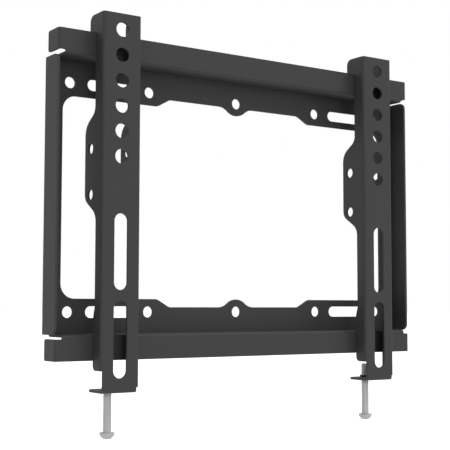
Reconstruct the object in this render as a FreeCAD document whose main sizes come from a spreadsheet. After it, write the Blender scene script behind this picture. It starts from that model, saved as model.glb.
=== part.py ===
"""Low-profile wall mount for a flat screen: a folded wall plate, two folded TV
brackets that hook over its upper rail, and a long locking screw in the foot of
each bracket.

Frame: X to the right, Y towards the wall, Z up. The origin is on the wall
plane, in the middle of the wall plate. All sizes are in millimetres.
"""
import FreeCAD, Part
import math
import os
import Sketcher

# Driving sizes
SIZES = {
    # Wall plate: folded sheet
    "plate_width": 272.9,
    "plate_height": 192.0,
    "plate_depth": 18.7,
    "plate_sheet": 1.5,
    "plate_bend": 0.2,
    "rail_height": 15.0,
    "relief_length": 4.75,
    "relief_rise": 2.5,
    "relief_corner": 0.6,
    "relief_gap": 2.4,
    "return_depth": 14.2,
    "return_corner": 1.5,
    "flange_depth": 17.5,
    "flange_corner": 4.4,
    # Wall plate: opening in the web
    "opening_side": 11.25,
    "opening_corner": 8.8,
    "wide_band": 20.75,
    "narrow_band": 15.75,
    "step_inset": 85.45,
    "step_run": 8.85,
    "step_corner": 5.0,
    "bump_foot": 9.5,
    "bump_peak": 8.3,
    "bump_corner": 10.0,
    # Wall plate: holes for wall screws
    "row_drop": 12.85,
    "wall_hole": 6.9,
    "near_hole_inset": 70.4,
    "far_hole_inset": 15.92,
    "wall_slot_inset": 43.05,
    "wall_slot_length": 31.35,
    # TV brackets: folded sheet and where they hang
    "bracket_inset": 36.45,
    "bracket_width": 25.3,
    "foot_drop": 18.4,
    "bracket_sheet": 1.5,
    "bracket_bend": 0.3,
    "rail_gap": 0.1,
    # TV brackets: hook over the rail
    "hook_drop": 10.9,
    "hook_depth": 17.05,
    "hook_play": 0.5,
    "finger_length": 8.5,
    "finger_corner": 1.6,
    "top_corner": 4.2,
    # TV brackets: rear edge of the flanges
    "seat_depth": 9.7,
    "waist_depth": 7.95,
    "belly_depth": 22.0,
    "belly_top": 58.1,
    "belly_top_run": 8.0,
    "belly_bottom": 118.5,
    "belly_bottom_run": 9.2,
    "neck_corner": 6.6,
    "belly_top_corner": 10.0,
    "belly_bottom_corner": 6.6,
    "waist_corner": 8.3,
    "foot_seat_rise": 43.55,
    "foot_seat_run": 5.5,
    "foot_corner": 3.2,
    "left_flange_rise": 12.8,
    "right_flange_rise": 3.0,
    # TV brackets: holes for the screen and in the belly
    "face_hole": 8.7,
    "first_hole": 9.6,
    "hole_pitch": 15.0,
    "face_slot_width": 8.85,
    "face_slot_length": 44.5,
    "upper_slot_middle": 140.1,
    "slot_bridge": 6.15,
    "lower_slot_rise": 8.4,
    "belly_hole": 6.6,
    "belly_hole_depth": 15.4,
    "belly_hole_start": 79.5,
    "belly_hole_pitch": 27.05,
    # TV brackets: foot tab with its drawn collar
    "tab_left": 1.7,
    "tab_right": 1.8,
    "tab_depth": 20.95,
    "tab_corner": 5.0,
    "collar_diameter": 6.9,
    "collar_height": 1.4,
    # Locking screws
    "thread_diameter": 4.95,
    "thread_play": 0.05,
    "thread_length": 14.2,
    "shank_diameter": 4.7,
    "screw_length": 34.2,
    "screw_rise": 10.6,
    "screw_across": 12.8,
    "screw_depth": 15.4,
    "screw_point": 0.7,
    "head_diameter": 9.1,
    "head_height": 3.85,
    "head_edge": 0.6,
    "shoulder_diameter": 7.0,
    "shoulder_height": 1.3,
    "crown_diameter": 3.2,
    "recess_span": 4.6,
    "recess_width": 1.1,
    "recess_depth": 1.9,
}
FACE_HOLES = 6
BELLY_HOLES = 2


class Size:
    """A number, with the formula on the sheet that gives it."""

    def __init__(self, number, formula=None):
        self.number = float(number)
        self.formula = formula if formula else repr(float(number))

    def __add__(self, other):
        other = as_size(other)
        return Size(self.number + other.number, f"({self.formula} + {other.formula})")

    def __sub__(self, other):
        other = as_size(other)
        return Size(self.number - other.number, f"({self.formula} - {other.formula})")

    def __mul__(self, factor):
        return Size(self.number * factor, f"({self.formula} * {float(factor)})")

    def __truediv__(self, factor):
        return Size(self.number / factor, f"({self.formula} / {float(factor)})")

    def __neg__(self):
        return Size(-self.number, f"(0 - {self.formula})")


def as_size(value):
    """Take a plain number as a size of its own."""
    return value if isinstance(value, Size) else Size(value)


# The document and its sheet of driving sizes
doc = FreeCAD.newDocument("tv_mount")
sheet = doc.addObject("Spreadsheet::Sheet", "Sizes")
for row, (alias, number) in enumerate(SIZES.items(), start=1):
    sheet.set(f"A{row}", alias)
    sheet.set(f"B{row}", str(number))
    sheet.setAlias(f"B{row}", alias)
doc.recompute()


def size(alias):
    """Look a driving size up on the sheet."""
    return Size(sheet.get(alias), f"Sizes.{alias}")


# Sketches and features
def bind(feature, prop, value):
    """Give a property its size, and bind it to the sheet."""
    value = as_size(value)
    setattr(feature, prop, value.number)
    feature.setExpression(prop, value.formula)


def place(body, across, depth, height):
    """Set a body's place, bound to the sheet."""
    spot = [as_size(across), as_size(depth), as_size(height)]
    body.Placement.Base = FreeCAD.Vector(*[value.number for value in spot])
    for axis, value in zip("xyz", spot):
        body.setExpression(f"Placement.Base.{axis}", value.formula)


def new_body(label):
    """Start a piece with a label of its own."""
    body = doc.addObject("PartDesign::Body", label)
    body.Label = label
    return body


def new_sketch(body, label, plane, offset=None):
    """Start a sketch on one of the body's own origin planes, or off it by an offset."""
    sketch = body.newObject("Sketcher::SketchObject", f"{body.Label}_{label}")
    roles = {item.Role: item for item in body.Origin.OriginFeatures}
    sketch.AttachmentSupport = [(roles[plane], "")]
    sketch.MapMode = "FlatFace"
    if offset is not None:
        sketch.AttachmentOffset = FreeCAD.Placement(
            FreeCAD.Vector(0, 0, offset.number), FreeCAD.Rotation())
        sketch.setExpression("AttachmentOffset.Base.z", offset.formula)
    return sketch


def constrain(sketch, kind, places, value):
    """Add a dimension to a sketch and bind it to the sheet."""
    value = as_size(value)
    index = sketch.addConstraint(Sketcher.Constraint(kind, *places, value.number))
    sketch.setExpression(f"Constraints[{index}]", value.formula)


def hold_point(sketch, geometry, position, across, up):
    """Fix a point of a sketch by its distances from the sketch's origin."""
    constrain(sketch, "DistanceX", (-1, 1, geometry, position), across)
    constrain(sketch, "DistanceY", (-1, 1, geometry, position), up)


def join_tangent(sketch, line, line_end, arc, point):
    """Join a line's end to whichever end of an arc lies at the point."""
    gaps = [(sketch.getPoint(arc, end) - point).Length for end in (1, 2)]
    arc_end = 1 + gaps.index(min(gaps))
    sketch.addConstraint(Sketcher.Constraint("Tangent", line, line_end, arc, arc_end))


def draw_outline(sketch, corners):
    """Draw a closed outline through corners (across, up) or (across, up, radius).

    A corner with a radius keeps its sharp point as construction, and an arc
    tangent to both of its sides runs past it.
    """
    count = len(corners)
    points = [FreeCAD.Vector(as_size(corner[0]).number, as_size(corner[1]).number, 0)
              for corner in corners]
    arrive = list(points)
    leave = list(points)
    arcs = [None] * count
    for i, corner in enumerate(corners):
        if len(corner) == 2:
            continue
        before = (points[i - 1] - points[i]).normalize()
        after = (points[(i + 1) % count] - points[i]).normalize()
        middle = (before + after).normalize()
        half = before.getAngle(after) / 2
        radius = corner[2].number
        arrive[i] = points[i] + before * (radius / math.tan(half))
        leave[i] = points[i] + after * (radius / math.tan(half))
        nearest = points[i] + middle * (radius / math.sin(half) - radius)
        arcs[i] = sketch.addGeometry(Part.Arc(arrive[i], nearest, leave[i]), False)
    sides = [sketch.addGeometry(Part.LineSegment(leave[i], arrive[(i + 1) % count]), False)
             for i in range(count)]
    for i, corner in enumerate(corners):
        side_in, side_out = sides[i - 1], sides[i]
        if arcs[i] is None:
            sketch.addConstraint(Sketcher.Constraint("Coincident", side_in, 2, side_out, 1))
            hold_point(sketch, side_out, 1, corner[0], corner[1])
            continue
        join_tangent(sketch, side_in, 2, arcs[i], arrive[i])
        join_tangent(sketch, side_out, 1, arcs[i], leave[i])
        constrain(sketch, "Radius", (arcs[i],), corner[2])
        sharp = sketch.addGeometry(Part.Point(points[i]), True)
        sketch.addConstraint(Sketcher.Constraint("PointOnObject", sharp, 1, side_in))
        sketch.addConstraint(Sketcher.Constraint("PointOnObject", sharp, 1, side_out))
        hold_point(sketch, sharp, 1, corner[0], corner[1])


def draw_circle(sketch, across, up, diameter):
    """Draw a circle with its middle held from the sketch's origin."""
    across, up = as_size(across), as_size(up)
    middle = FreeCAD.Vector(across.number, up.number, 0)
    ring = Part.Circle(middle, FreeCAD.Vector(0, 0, 1), diameter.number / 2)
    circle = sketch.addGeometry(ring, False)
    constrain(sketch, "Diameter", (circle,), diameter)
    hold_point(sketch, circle, 3, across, up)


def draw_slot(sketch, across, up, length, width, upright=False):
    """Draw a round-ended slot about a middle point, lying or upright."""
    reach = (length - width) / 2
    radius = width.number / 2
    if upright:
        middles = [(across, up - reach), (across, up + reach)]
    else:
        middles = [(across - reach, up), (across + reach, up)]
    centres = [FreeCAD.Vector(x.number, y.number, 0) for x, y in middles]
    along = (centres[1] - centres[0]).normalize()
    aside = FreeCAD.Vector(-along.y, along.x, 0) * radius
    tips = [centres[0] - along * radius, centres[1] + along * radius]
    arcs = [sketch.addGeometry(Part.Arc(centre + aside, tip, centre - aside), False)
            for centre, tip in zip(centres, tips)]
    for side in (aside, -aside):
        ends = [centre + side for centre in centres]
        line = sketch.addGeometry(Part.LineSegment(*ends), False)
        for line_end, arc, point in zip((1, 2), arcs, ends):
            join_tangent(sketch, line, line_end, arc, point)
    constrain(sketch, "Radius", (arcs[0],), width / 2)
    for arc, (x, y) in zip(arcs, middles):
        hold_point(sketch, arc, 3, x, y)


def add_pad(body, sketch, length, symmetric=False, reverse=False):
    """Raise a sketch into a solid, fused to the body."""
    pad = body.newObject("PartDesign::Pad", f"{sketch.Name}_pad")
    pad.Profile = sketch
    bind(pad, "Length", length)
    pad.SideType = "Symmetric" if symmetric else "One side"
    pad.Reversed = reverse
    doc.recompute()
    return pad


def add_pocket(body, sketch, length=None, reverse=False):
    """Cut a sketch out of the body, right through where no length is given."""
    before = body.Shape.Volume
    pocket = body.newObject("PartDesign::Pocket", f"{sketch.Name}_cut")
    pocket.Profile = sketch
    if length is None:
        pocket.Type = "ThroughAll"
    else:
        bind(pocket, "Length", length)
    pocket.Reversed = reverse
    doc.recompute()
    if body.Shape.Volume > before - 1e-3:
        raise RuntimeError(f"{pocket.Name} cuts nothing")
    return pocket


def edges_at(shape, **coordinates):
    """Name the straight edges whose two ends both have the given coordinates."""
    names = []
    for number, edge in enumerate(shape.Edges, start=1):
        if len(edge.Vertexes) != 2:
            continue
        spots = [vertex.Point for vertex in edge.Vertexes]
        if all(abs(getattr(spot, axis) - value.number) < 1e-4
               for spot in spots for axis, value in coordinates.items()):
            names.append(f"Edge{number}")
    return names


def add_fillet(body, label, radius, places):
    """Round the edges found at the given places of the body."""
    base = body.Tip
    names = []
    for coordinates in places:
        found = edges_at(base.Shape, **coordinates)
        if not found:
            raise RuntimeError(f"{label} finds no edge")
        names.extend(found)
    fillet = body.newObject("PartDesign::Fillet", f"{body.Label}_{label}")
    fillet.Base = (base, names)
    bind(fillet, "Radius", radius)
    doc.recompute()


# Wall plate: sizes worked out from the driving ones
plate_half = size("plate_width") / 2
plate_top = size("plate_height") / 2
sheet_2 = size("plate_sheet")
bend_in = size("plate_bend")
bend_out = sheet_2 + bend_in
lip_front = -size("plate_depth")
lip_rear = lip_front + sheet_2
shelf_low = plate_top - size("rail_height")
shelf_high = shelf_low + sheet_2
shelf_half = plate_half - size("relief_length")
lip_end_low = shelf_low + size("relief_rise")
flange_front = -size("flange_depth")
flange_end = lip_end_low - size("relief_gap")
return_rear = lip_front + size("return_depth")

# Wall plate: web, two shelves and their lips in one folded section
wall_plate = new_body("wall_plate")
section = new_sketch(wall_plate, "rail_section", "YZ_Plane")
draw_outline(section, [
    (lip_front, plate_top),
    (lip_rear, plate_top),
    (lip_rear, shelf_high, bend_in),
    (0, shelf_high, bend_out),
    (0, -shelf_high, bend_out),
    (lip_rear, -shelf_high, bend_in),
    (lip_rear, -plate_top),
    (lip_front, -plate_top),
    (lip_front, -shelf_low, bend_out),
    (-sheet_2, -shelf_low, bend_in),
    (-sheet_2, shelf_low, bend_in),
    (lip_front, shelf_low, bend_out),
])
add_pad(wall_plate, section, shelf_half * 2, symmetric=True)

# Wall plate: side flanges bent forward off the web
section = new_sketch(wall_plate, "flange_section", "XY_Plane")
for hand in (1, -1):
    draw_outline(section, [
        (shelf_half * hand, 0),
        (plate_half * hand, 0, bend_out),
        (plate_half * hand, flange_front),
        ((plate_half - sheet_2) * hand, flange_front),
        ((plate_half - sheet_2) * hand, -sheet_2, bend_in),
        (shelf_half * hand, -sheet_2),
    ])
add_pad(wall_plate, section, flange_end * 2, symmetric=True)

# Wall plate: lip ends, wider than the shelves, with returns bent back to the wall
for side, label in ((1, "upper"), (-1, "lower")):
    section = new_sketch(wall_plate, f"{label}_return_section", "XY_Plane", lip_end_low * side)
    draw_outline(section, [
        (-plate_half, return_rear),
        (-plate_half, lip_front, bend_out),
        (plate_half, lip_front, bend_out),
        (plate_half, return_rear),
        (plate_half - sheet_2, return_rear),
        (plate_half - sheet_2, lip_rear, bend_in),
        (sheet_2 - plate_half, lip_rear, bend_in),
        (sheet_2 - plate_half, return_rear),
    ])
    add_pad(wall_plate, section, plate_top - lip_end_low, reverse=side < 0)

# Wall plate: rounded free corners of the flanges and the returns, and inner corners of the reliefs
add_fillet(wall_plate, "flange_corners", size("flange_corner"),
           [{"y": flange_front, "z": flange_end * side} for side in (1, -1)])
add_fillet(wall_plate, "return_corners", size("return_corner"),
           [{"y": return_rear, "z": level * side}
            for side in (1, -1) for level in (plate_top, lip_end_low)])
add_fillet(wall_plate, "relief_corners", size("relief_corner"),
           [{"x": shelf_half * hand, "z": lip_end_low * side} for hand in (1, -1) for side in (1, -1)])

# Wall plate: opening, with deeper bands at the corners and a bump over each middle hole
wide_edge = shelf_low - size("wide_band")
narrow_edge = shelf_low - size("narrow_band")
step_start = plate_half - size("step_inset")
step_end = step_start + size("step_run")
half_edge = [
    (plate_half - size("opening_side"), wide_edge, size("opening_corner")),
    (step_end, wide_edge, size("step_corner")),
    (step_start, narrow_edge, size("step_corner")),
    (size("bump_foot"), narrow_edge, size("bump_corner")),
]
peak = (as_size(0), narrow_edge - size("bump_peak"), size("bump_corner"))
upper_edge = half_edge + [peak] + [(-x, z, r) for x, z, r in reversed(half_edge)]
lower_edge = [(x, -z, r) for x, z, r in reversed(upper_edge)]
section = new_sketch(wall_plate, "opening", "XZ_Plane")
draw_outline(section, upper_edge + lower_edge)
add_pocket(wall_plate, section, reverse=True)

# Wall plate: two rows of holes and slots for the wall screws
section = new_sketch(wall_plate, "wall_holes", "XZ_Plane")
for side in (1, -1):
    row_level = (shelf_low - size("row_drop")) * side
    draw_circle(section, 0, row_level, size("wall_hole"))
    for hand in (1, -1):
        for inset in ("near_hole_inset", "far_hole_inset"):
            draw_circle(section, (plate_half - size(inset)) * hand, row_level, size("wall_hole"))
        draw_slot(section, (plate_half - size("wall_slot_inset")) * hand, row_level,
                  size("wall_slot_length"), size("wall_hole"))
add_pocket(wall_plate, section, reverse=True)

# TV brackets: sizes worked out from the driving ones
width = size("bracket_width")
thin = size("bracket_sheet")
thin_bend = size("bracket_bend")
seat = size("seat_depth")
belly = size("belly_depth")
waist = size("waist_depth")
hook_rear = size("hook_depth")
notch_rear = seat + size("rail_gap") + sheet_2 + size("hook_play")
finger_end = -(size("hook_drop") + size("finger_length"))
tab_under = -(size("plate_height") + size("rail_gap") + size("hook_drop") + size("foot_drop"))
tab_top = tab_under + thin
left_end = tab_under + size("left_flange_rise")
right_end = tab_under + size("right_flange_rise")
foot_seat = tab_under + size("foot_seat_rise")
upper_slot = size("upper_slot_middle")
slot_length = size("face_slot_length")
lower_slot_top = upper_slot + slot_length / 2 + size("slot_bridge")
lower_slot_end = -tab_under - size("lower_slot_rise")
lower_slot = ((lower_slot_top + lower_slot_end) / 2, lower_slot_end - lower_slot_top)
tab_right = width - size("tab_right")
screw_across = size("screw_across")


def make_bracket(label):
    """Fold one TV bracket: its face looks to the front, its left upper front corner is zero."""
    body = new_body(label)

    # A flange's side view from the hook down to the foot, over the full width
    side_view = new_sketch(body, "side_view", "YZ_Plane")
    draw_outline(side_view, [
        (0, 0),
        (hook_rear, 0, size("top_corner")),
        (hook_rear, finger_end, size("finger_corner")),
        (notch_rear, finger_end, size("finger_corner")),
        (notch_rear, -size("hook_drop")),
        (seat, -size("hook_drop")),
        (seat, -size("belly_top"), size("neck_corner")),
        (belly, -(size("belly_top") + size("belly_top_run")), size("belly_top_corner")),
        (belly, size("belly_bottom_run") - size("belly_bottom"), size("belly_bottom_corner")),
        (waist, -size("belly_bottom"), size("waist_corner")),
        (waist, foot_seat + size("foot_seat_run")),
        (seat, foot_seat),
        (seat, right_end, size("foot_corner")),
        (0, right_end),
    ])
    add_pad(body, side_view, width)
    add_fillet(body, "bends", thin + thin_bend,
               [{"x": as_size(0), "y": as_size(0)}, {"x": width, "y": as_size(0)}])

    # The hollow between the flanges
    hollow = new_sketch(body, "hollow", "XY_Plane")
    draw_outline(hollow, [
        (thin, thin, thin_bend),
        (width - thin, thin, thin_bend),
        (width - thin, belly + thin),
        (thin, belly + thin),
    ])
    add_pocket(body, hollow)

    # The left flange ends higher than the right one
    short_side = new_sketch(body, "short_side", "XZ_Plane")
    draw_outline(short_side, [
        (-thin, left_end),
        (size("tab_left"), left_end),
        (size("tab_left"), right_end - thin),
        (-thin, right_end - thin),
    ])
    add_pocket(body, short_side)
    add_fillet(body, "short_corner", size("foot_corner"), [{"y": seat, "z": left_end}])

    # The foot tab, bent back under the channel, and the collar drawn up round its hole
    foot = new_sketch(body, "foot", "YZ_Plane", size("tab_left"))
    draw_outline(foot, [
        (0, right_end),
        (thin, right_end),
        (thin, tab_top, thin_bend),
        (size("tab_depth"), tab_top),
        (size("tab_depth"), tab_under),
        (0, tab_under, thin + thin_bend),
    ])
    add_pad(body, foot, tab_right - size("tab_left"))
    add_fillet(body, "tab_corners", size("tab_corner"),
               [{"x": size("tab_left"), "y": size("tab_depth")},
                {"x": tab_right, "y": size("tab_depth")}])
    collar = new_sketch(body, "collar", "XY_Plane", tab_top)
    draw_circle(collar, screw_across, size("screw_depth"), size("collar_diameter"))
    add_pad(body, collar, size("collar_height"))
    bore = new_sketch(body, "bore", "XY_Plane", tab_under)
    draw_circle(bore, screw_across, size("screw_depth"),
                size("thread_diameter") + size("thread_play") * 2)
    add_pocket(body, bore, thin + size("collar_height"), reverse=True)

    # Round holes and slots in the face, for the screen's screws
    first_hole = new_sketch(body, "face_hole", "XZ_Plane")
    draw_circle(first_hole, width / 2, -size("first_hole"), size("face_hole"))
    repeat(body, add_pocket(body, first_hole), size("hole_pitch"), FACE_HOLES)
    slots = new_sketch(body, "face_slots", "XZ_Plane")
    for middle, length in ((upper_slot, slot_length), lower_slot):
        draw_slot(slots, width / 2, -middle, length, size("face_slot_width"), upright=True)
    add_pocket(body, slots)

    # Small holes through both flanges at the belly
    belly_hole = new_sketch(body, "belly_hole", "YZ_Plane")
    draw_circle(belly_hole, size("belly_hole_depth"), -size("belly_hole_start"), size("belly_hole"))
    repeat(body, add_pocket(body, belly_hole, reverse=True), size("belly_hole_pitch"), BELLY_HOLES)
    return body


def repeat(body, feature, pitch, count):
    """Repeat a cut downwards at an even pitch."""
    roles = {item.Role: item for item in body.Origin.OriginFeatures}
    pattern = body.newObject("PartDesign::LinearPattern", f"{feature.Name}_row")
    pattern.Originals = [feature]
    pattern.Direction = (roles["Z_Axis"], [""])
    pattern.Reversed = True
    bind(pattern, "Length", pitch * (count - 1))
    pattern.Occurrences = count
    body.Tip = pattern
    doc.recompute()


# Locking screws: sizes worked out from the driving ones
shank = size("shank_diameter") / 2
thread = size("thread_diameter") / 2
screw_tip = size("screw_length")
thread_low = screw_tip - size("thread_length")
head = size("head_diameter") / 2
head_end = -size("head_height")
shoulder_end = head_end + size("shoulder_height")
arm = size("recess_span") / 2
rib = size("recess_width") / 2


def make_screw(label):
    """Turn one locking screw: head down, zero at the head's seat."""
    body = new_body(label)
    half_view = new_sketch(body, "half_view", "XZ_Plane")
    draw_outline(half_view, [
        (0, head_end),
        (size("crown_diameter") / 2, head_end),
        (size("shoulder_diameter") / 2, shoulder_end),
        (head, -size("head_edge")),
        (head - size("head_edge"), 0),
        (shank, 0),
        (shank, thread_low),
        (thread, thread_low + thread - shank),
        (thread, screw_tip - size("screw_point")),
        (thread - size("screw_point"), screw_tip),
        (0, screw_tip),
    ])
    turned = body.newObject("PartDesign::Revolution", f"{label}_turned")
    turned.Profile = half_view
    turned.ReferenceAxis = (half_view, ["V_Axis"])
    turned.Angle = 360.0
    doc.recompute()
    recess = new_sketch(body, "recess", "XY_Plane", head_end)
    draw_outline(recess, [
        (rib, arm), (rib, rib), (arm, rib), (arm, -rib), (rib, -rib), (rib, -arm),
        (-rib, -arm), (-rib, -rib), (-arm, -rib), (-arm, rib), (-rib, rib), (-rib, arm),
    ])
    add_pocket(body, recess, size("recess_depth"), reverse=True)
    return body


# Place the brackets over the upper rail and a screw in each foot
bracket_depth = lip_front - size("rail_gap") - seat
bracket_top = plate_top + size("rail_gap") + size("hook_drop")
screw_seat = bracket_top + tab_under + size("screw_rise") - size("screw_length")
pieces = [wall_plate]
for hand, label in ((-1, "left"), (1, "right")):
    bracket_left = (plate_half - size("bracket_inset")) * hand - width / 2
    bracket = make_bracket(f"{label}_tv_bracket")
    place(bracket, bracket_left, bracket_depth, bracket_top)
    screw = make_screw(f"{label}_locking_screw")
    place(screw, bracket_left + screw_across, bracket_depth + size("screw_depth"), screw_seat)
    pieces += [bracket, screw]
doc.recompute()

# Check every object and write each piece to its file
for item in doc.Objects:
    if "Invalid" in item.State or "Error" in item.State:
        raise RuntimeError(f"{item.Name} is not sound: {item.State}")
os.makedirs("parts", exist_ok=True)
for piece in pieces:
    shape = piece.Shape
    if shape.isNull() or not shape.isValid() or len(shape.Solids) != 1:
        raise RuntimeError(f"{piece.Label} is not one sound solid")
    shape.exportStep(f"parts/{piece.Label}.step")
    print(piece.Label, round(shape.Volume, 1), shape.BoundBox)
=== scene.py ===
"""Wall mount for a flat screen, dressed around its CAD frame.

The folded plate and the two folded brackets keep their CAD shapes and get a
powder coat. The two locking screws are made here, with their rolled threads.
Lengths in this file are in metres unless a name says otherwise.
"""

import math

import bmesh
import bpy
from mathutils import Matrix, Vector


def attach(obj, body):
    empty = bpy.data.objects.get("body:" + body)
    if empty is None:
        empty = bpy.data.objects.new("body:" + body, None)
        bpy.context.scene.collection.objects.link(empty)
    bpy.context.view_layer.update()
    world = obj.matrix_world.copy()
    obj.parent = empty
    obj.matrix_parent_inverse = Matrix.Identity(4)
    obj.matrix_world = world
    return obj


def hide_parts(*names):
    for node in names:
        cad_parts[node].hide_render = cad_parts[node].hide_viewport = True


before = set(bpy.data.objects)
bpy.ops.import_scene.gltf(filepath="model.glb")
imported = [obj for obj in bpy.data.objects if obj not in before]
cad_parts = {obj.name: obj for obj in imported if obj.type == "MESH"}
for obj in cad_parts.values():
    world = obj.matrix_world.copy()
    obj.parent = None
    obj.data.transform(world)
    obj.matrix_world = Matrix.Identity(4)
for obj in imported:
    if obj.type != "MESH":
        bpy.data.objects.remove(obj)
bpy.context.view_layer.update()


# Wall plate: one sheet of 1.5 mm steel, laser cut and folded, that screws flat to
# the wall. It carries a dark powder coat, sprayed on as dust and baked, which
# leaves a fine orange peel that takes the shine off every face and bend.
def linear(hex_colour):
    """Turn an sRGB hex colour to linear red, green, blue and alpha."""
    channels = [int(hex_colour[i:i + 2], 16) / 255 for i in (1, 3, 5)]
    return [c / 12.92 if c <= 0.04045 else ((c + 0.055) / 1.055) ** 2.4 for c in channels] + [1.0]


def add_node(tree, kind, settings=None, inputs=None, place=(0, 0)):
    """Add one shader node: settings are its properties, inputs are values or sockets to link."""
    node = tree.nodes.new(kind)
    node.location = place
    for name, value in (settings or {}).items():
        setattr(node, name, value)
    for name, value in (inputs or {}).items():
        if isinstance(value, bpy.types.NodeSocket):
            tree.links.new(value, node.inputs[name])
        else:
            node.inputs[name].default_value = value
    return node


def new_material(name):
    """Start an empty node material and return it with its node tree."""
    material = bpy.data.materials.new(name)
    material.use_nodes = True
    tree = material.node_tree
    tree.nodes.clear()
    return material, tree


def finish_material(tree, shader):
    """Send a shader to the surface output."""
    add_node(tree, "ShaderNodeOutputMaterial", inputs={"Surface": shader.outputs[0]}, place=(400, 0))


def make_powder_coat(name, dark_hex, light_hex):
    """Powder-coated steel: a matt near-black skin, even in colour, with a soft pebbled shine."""
    peel_mm = 0.9
    cloud_mm = 22.0
    material, tree = new_material(name)
    at = add_node(tree, "ShaderNodeTexCoord", place=(-1200, 0)).outputs["Object"]
    peel = add_node(tree, "ShaderNodeTexNoise", inputs={
        "Vector": at, "Scale": 1000 / peel_mm, "Detail": 2.0, "Roughness": 0.5}, place=(-900, -200))
    cloud = add_node(tree, "ShaderNodeTexNoise", inputs={
        "Vector": at, "Scale": 1000 / cloud_mm, "Detail": 3.0, "Roughness": 0.55}, place=(-900, 200))
    # A colour mix takes its share on socket 0 and its two colours on 6 and 7, and gives them on 2
    tint = add_node(tree, "ShaderNodeMix", {"data_type": "RGBA"}, {
        0: cloud.outputs[0], 6: linear(dark_hex), 7: linear(light_hex)}, place=(-500, 250))
    rough = add_node(tree, "ShaderNodeMapRange", inputs={
        "Value": peel.outputs[0], "From Min": 0.3, "From Max": 0.7, "To Min": 0.60, "To Max": 0.68},
        place=(-500, 0))
    bump = add_node(tree, "ShaderNodeBump", inputs={
        "Height": peel.outputs[0], "Strength": 0.25, "Distance": 0.00005}, place=(-500, -250))
    shader = add_node(tree, "ShaderNodeBsdfPrincipled", inputs={
        "Base Color": tint.outputs[2], "Roughness": rough.outputs[0], "Normal": bump.outputs[0],
        "Metallic": 0.0, "IOR": 1.42})
    finish_material(tree, shader)
    return material


def coat_node(node, material):
    """Give a CAD node its finish."""
    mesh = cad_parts[node].data
    mesh.materials.clear()
    mesh.materials.append(material)


plate_coat = make_powder_coat("powder_coated_steel_plate", "#2c2c2c", "#303030")
coat_node("wall_plate", plate_coat)


# TV brackets: two folded channels of 1.5 mm steel from one and the same tool,
# sprayed in the same batch as the plate. They hook over the upper rail.
bracket_coat = make_powder_coat("powder_coated_steel_bracket", "#2c2c2c", "#303030")
for side in ("left", "right"):
    coat_node(f"{side}_tv_bracket", bracket_coat)


# Locking screws: long M5 screws of zinc-plated steel, rolled and headed cold.
# One stands in the tapped collar of each bracket's foot, head down. The CAD
# screws are plain, so each is made again with its thread, dome and recess.
def make_zinc():
    """Zinc plating: a dull, even silver grey, finely drawn along the shank."""
    cloud_mm = 3.0
    draw_mm = 0.35
    draw_stretch = 0.04
    material, tree = new_material("zinc_plated_steel")
    at = add_node(tree, "ShaderNodeTexCoord", place=(-1200, 0)).outputs["Object"]
    along = add_node(tree, "ShaderNodeMapping", inputs={
        "Vector": at, "Scale": (1.0, 1.0, draw_stretch)}, place=(-1000, -200))
    drawn = add_node(tree, "ShaderNodeTexNoise", inputs={
        "Vector": along.outputs[0], "Scale": 1000 / draw_mm, "Detail": 2.0}, place=(-800, -200))
    cloud = add_node(tree, "ShaderNodeTexNoise", inputs={
        "Vector": at, "Scale": 1000 / cloud_mm, "Detail": 3.0}, place=(-800, 200))
    tint = add_node(tree, "ShaderNodeMix", {"data_type": "RGBA"}, {
        0: cloud.outputs[0], 6: linear("#b0b0b0"), 7: linear("#b9b9b9")}, place=(-500, 250))
    rough = add_node(tree, "ShaderNodeMapRange", inputs={
        "Value": drawn.outputs[0], "From Min": 0.3, "From Max": 0.7, "To Min": 0.68, "To Max": 0.80},
        place=(-500, 0))
    bump = add_node(tree, "ShaderNodeBump", inputs={
        "Height": drawn.outputs[0], "Strength": 0.3, "Distance": 0.00003}, place=(-500, -250))
    shader = add_node(tree, "ShaderNodeBsdfPrincipled", inputs={
        "Base Color": tint.outputs[2], "Roughness": rough.outputs[0], "Normal": bump.outputs[0],
        "Metallic": 1.0})
    finish_material(tree, shader)
    return material


def node_corners(node):
    """Lowest and highest corner of a CAD node."""
    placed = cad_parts[node]
    points = [placed.matrix_world @ vertex.co for vertex in placed.data.vertices]
    return [Vector([pick(point[i] for point in points) for i in range(3)]) for pick in (min, max)]


def thread_rod(length):
    """A rolled M5 thread about Z, open at both ends: plain shank at 0, chamfered tip at length."""
    pitch = 0.0008
    crest = 0.00247
    root = crest - 0.28 * pitch
    shank = 0.00235
    chamfer = 0.0007
    turn_steps = 48
    weld = 1e-6
    # One ridge of the thread: each radius with its share of the pitch
    profile = [(root, 0), (root, 1 / 8), (crest, 3 / 8), (crest, 5 / 8), (root, 7 / 8), (root, 1)]
    rod = bmesh.new()
    spots = [rod.verts.new((radius, 0, (part - 1) * pitch)) for radius, part in profile]
    for low, high in zip(spots, spots[1:]):
        rod.edges.new((low, high))
    turns = math.ceil(length / pitch) + 2
    bmesh.ops.spin(rod, geom=rod.verts[:] + rod.edges[:], axis=(0, 0, 1), cent=(0, 0, 0),
                   dvec=(0, 0, pitch / turn_steps), angle=2 * math.pi * turns, steps=turns * turn_steps)
    bmesh.ops.remove_doubles(rod, verts=rod.verts, dist=weld)

    # The ridge grows out of the shank over the first pitch and is cut to a cone at the tip
    for vertex in rod.verts:
        radius = vertex.co.xy.length
        grown = min(max(vertex.co.z / pitch, 0), 1)
        wanted = min(shank + (radius - shank) * grown, crest - chamfer + length - vertex.co.z)
        vertex.co.xy *= max(wanted, root / 2) / radius
    for level, way in ((0, -1), (length, 1)):
        bmesh.ops.bisect_plane(rod, geom=rod.verts[:] + rod.edges[:] + rod.faces[:],
                               plane_co=(0, 0, level), plane_no=(0, 0, way), clear_outer=True)
    return rod, shank


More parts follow.
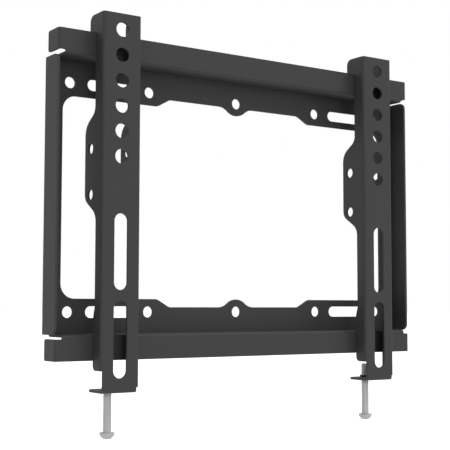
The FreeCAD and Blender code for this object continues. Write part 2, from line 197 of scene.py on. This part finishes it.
def rim_edges(rod, level):
    """The open edges of a rod at one level."""
    near = 1e-6
    return [edge for edge in rod.edges if edge.is_boundary
            and all(abs(vertex.co.z - level) < near for vertex in edge.verts)]


def round_points(centre, radius, start, end, steps):
    """Points (across, up) along an arc, from one angle to another in degrees."""
    angles = [math.radians(start + (end - start) * i / steps) for i in range(steps + 1)]
    return [(centre[0] + radius * math.cos(a), centre[1] + radius * math.sin(a)) for a in angles]


def make_screw(side):
    """Make one locking screw in the place of its CAD node."""
    thread_length = 0.0142
    screw_length = 0.0342
    fillet = 0.0003
    head = 0.00455
    edge = 0.0006
    crown = 0.0016
    corner_steps = 4
    dome_steps = 12
    node = f"{side}_locking_screw"
    low, high = node_corners(node)
    seat = high.z - screw_length
    head_end = low.z - seat
    thread_low = high.z - thread_length
    rod, shank = thread_rod(thread_length)
    bmesh.ops.translate(rod, verts=rod.verts, vec=(0, 0, thread_low))
    bmesh.ops.contextual_create(rod, geom=rim_edges(rod, high.z))

    # The dome is part of a ball that meets the head's edge and the rim of its small flat crown
    ball_up = (crown ** 2 - head ** 2 + head_end ** 2 - edge ** 2) / (2 * (head_end + edge))
    ball = math.hypot(crown, head_end - ball_up)
    dome_start = math.degrees(math.atan2(-edge - ball_up, head))
    dome_end = math.degrees(math.atan2(head_end - ball_up, crown))
    outline = round_points((shank + fillet, fillet), fillet, 180, 270, corner_steps)
    outline += round_points((head - edge, -edge), edge, 90, 0, corner_steps)
    outline += round_points((0, ball_up), ball, dome_start, dome_end, dome_steps)[1:]

    # The shank's rim is drawn down to the seat, out to the edge and round the dome
    rim = rim_edges(rod, thread_low)
    for radius, height in outline:
        drawn = bmesh.ops.extrude_edge_only(rod, edges=rim)["geom"]
        rim = [item for item in drawn if isinstance(item, bmesh.types.BMEdge) and item.is_boundary]
        for vertex in {vertex for item in rim for vertex in item.verts}:
            vertex.co.xy = vertex.co.xy.normalized() * radius
            vertex.co.z = seat + height
    bmesh.ops.contextual_create(rod, geom=rim)
    bmesh.ops.recalc_face_normals(rod, faces=rod.faces)
    mesh = bpy.data.meshes.new(f"{side}_threaded_screw")
    rod.to_mesh(mesh)
    rod.free()
    screw = bpy.data.objects.new(f"{side}_threaded_screw", mesh)
    bpy.context.scene.collection.objects.link(screw)
    cut_recess(screw, low.z)
    middle = (low + high) / 2
    screw.data.transform(Matrix.Translation((middle.x, middle.y, 0)))
    screw.data.materials.append(zinc)
    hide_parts(node)
    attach(screw, node)


def cut_recess(screw, head_end):
    """Cut the tapered cross recess up into the end of the head, and smooth the round faces."""
    reach = 0.0023
    half_width = 0.00055
    depth = 0.0019
    taper = 0.55
    outside = 0.0004
    weld = 1e-6
    crease = math.radians(32)
    far, near = reach, half_width
    cross = [(near, far), (near, near), (far, near), (far, -near), (near, -near), (near, -far),
             (-near, -far), (-near, -near), (-far, -near), (-far, near), (-near, near), (-near, far)]
    tool = bmesh.new()
    mouth = tool.faces.new([tool.verts.new((x, y, head_end - outside)) for x, y in cross])
    grown = bmesh.ops.extrude_face_region(tool, geom=[mouth])["geom"]
    inner = [item for item in grown if isinstance(item, bmesh.types.BMVert)]
    bmesh.ops.translate(tool, verts=inner, vec=(0, 0, outside + depth))

    # The arms of the cross get shorter inwards and keep their width
    for vertex in tool.verts:
        scale = taper if vertex in inner else 1 + outside * (1 - taper) / depth
        for i in (0, 1):
            if abs(vertex.co[i]) > (far + near) / 2:
                vertex.co[i] *= scale
    bmesh.ops.recalc_face_normals(tool, faces=tool.faces)
    mesh = bpy.data.meshes.new("recess_tool")
    tool.to_mesh(mesh)
    tool.free()
    cutter = bpy.data.objects.new("recess_tool", mesh)
    bpy.context.scene.collection.objects.link(cutter)
    cut = screw.modifiers.new("recess", "BOOLEAN")
    cut.operation = "DIFFERENCE"
    cut.solver = "EXACT"
    cut.object = cutter
    graph = bpy.context.evaluated_depsgraph_get()
    finished = bpy.data.meshes.new_from_object(screw.evaluated_get(graph))
    screw.modifiers.clear()
    screw.data = finished
    bpy.data.objects.remove(cutter)
    shade = bmesh.new()
    shade.from_mesh(finished)
    bmesh.ops.dissolve_degenerate(shade, edges=shade.edges, dist=weld)
    for face in shade.faces:
        face.smooth = True
    for item in shade.edges:
        item.smooth = item.is_manifold and item.calc_face_angle() < crease
    shade.to_mesh(finished)
    shade.free()


zinc = make_zinc()
for side in ("left", "right"):
    make_screw(side)


# Studio: a plain white floor well under the mount and a white surround that gives
# most of the light. A weak lamp in front lifts the faces, and one high on the right
# draws out the lower shelf's edge. The camera stands where the photo was taken.
def shown_white(tree):
    """1 where a camera ray, a reflection or a ray through glass meets the background, else 0."""
    path = add_node(tree, "ShaderNodeLightPath", place=(-1200, 0))
    mirrored = add_node(tree, "ShaderNodeMath", {"operation": "ADD"}, {
        0: path.outputs["Is Camera Ray"], 1: path.outputs["Is Glossy Ray"]}, place=(-1000, 0))
    return add_node(tree, "ShaderNodeMath", {"operation": "ADD", "use_clamp": True}, {
        0: mirrored.outputs[0], 1: path.outputs["Is Transmission Ray"]}, place=(-800, 0)).outputs[0]


floor_z = -0.60
floor_reach = 60.0
floor_glow = 0.5
bm = bmesh.new()
bmesh.ops.create_grid(bm, x_segments=1, y_segments=1, size=floor_reach,
                      matrix=Matrix.Translation((0, 0, floor_z)))
floor_mesh = bpy.data.meshes.new("floor")
bm.to_mesh(floor_mesh)
bm.free()
floor = bpy.data.objects.new("floor", floor_mesh)
bpy.context.scene.collection.objects.link(floor)

floor_paint, tree = new_material("white_floor_paint")
bright = add_node(tree, "ShaderNodeMath", {"operation": "MULTIPLY"}, {
    0: shown_white(tree), 1: floor_glow}, place=(-600, 0))
glow = add_node(tree, "ShaderNodeEmission", inputs={"Strength": bright.outputs[0]}, place=(-400, 0))
matt = add_node(tree, "ShaderNodeBsdfDiffuse", inputs={"Color": linear("#ececec")}, place=(-400, 200))
both = add_node(tree, "ShaderNodeAddShader", inputs={0: matt.outputs[0], 1: glow.outputs[0]})
finish_material(tree, both)
floor_mesh.materials.append(floor_paint)

surround_light = 0.68
surround_shown = 1.0
world = bpy.data.worlds.new("white_surround")
bpy.context.scene.world = world
world.use_nodes = True
tree = world.node_tree
tree.nodes.clear()
level = add_node(tree, "ShaderNodeMapRange", inputs={
    "Value": shown_white(tree), "To Min": surround_light, "To Max": surround_shown}, place=(-400, 0))
sky = add_node(tree, "ShaderNodeBackground", inputs={
    "Color": linear("#ffffff"), "Strength": level.outputs[0]})
add_node(tree, "ShaderNodeOutputWorld", inputs={"Surface": sky.outputs[0]}, place=(400, 0))

# Each lamp's strength and the way its light goes
lamps = {"key": (0.55, Vector((0.2, 0.95, -0.1))), "overhead": (1.0, Vector((-0.48, 0.42, -0.85)))}
lamp_spread = math.radians(20)
for name, (energy, way) in lamps.items():
    light = bpy.data.lights.new(name, "SUN")
    light.energy = energy
    light.angle = lamp_spread
    lamp = bpy.data.objects.new(name, light)
    lamp.rotation_euler = way.to_track_quat("-Z", "Y").to_euler()
    bpy.context.scene.collection.objects.link(lamp)

# The camera's place, turn and lens come from a fit to the holes and corners in the photo
photo_pixels = 450
focal_pixels = 1070.196
stand = (-0.398721, -0.573012, -0.064414)
turn = math.radians(-34.297)
look_up = math.radians(4.327)
roll = math.radians(0.096)
camera_data = bpy.data.cameras.new("photo_camera")
camera_data.sensor_width = 36.0
camera_data.lens = focal_pixels * camera_data.sensor_width / photo_pixels
camera = bpy.data.objects.new("photo_camera", camera_data)
camera.matrix_world = (
    Matrix.Translation(stand)
    @ Matrix.Rotation(turn, 4, "Z")
    @ Matrix.Rotation(math.radians(90) + look_up, 4, "X")
    @ Matrix.Rotation(roll, 4, "Z"))
bpy.context.scene.collection.objects.link(camera)
bpy.context.scene.camera = camera
bpy.context.scene.view_settings.view_transform = "Standard"
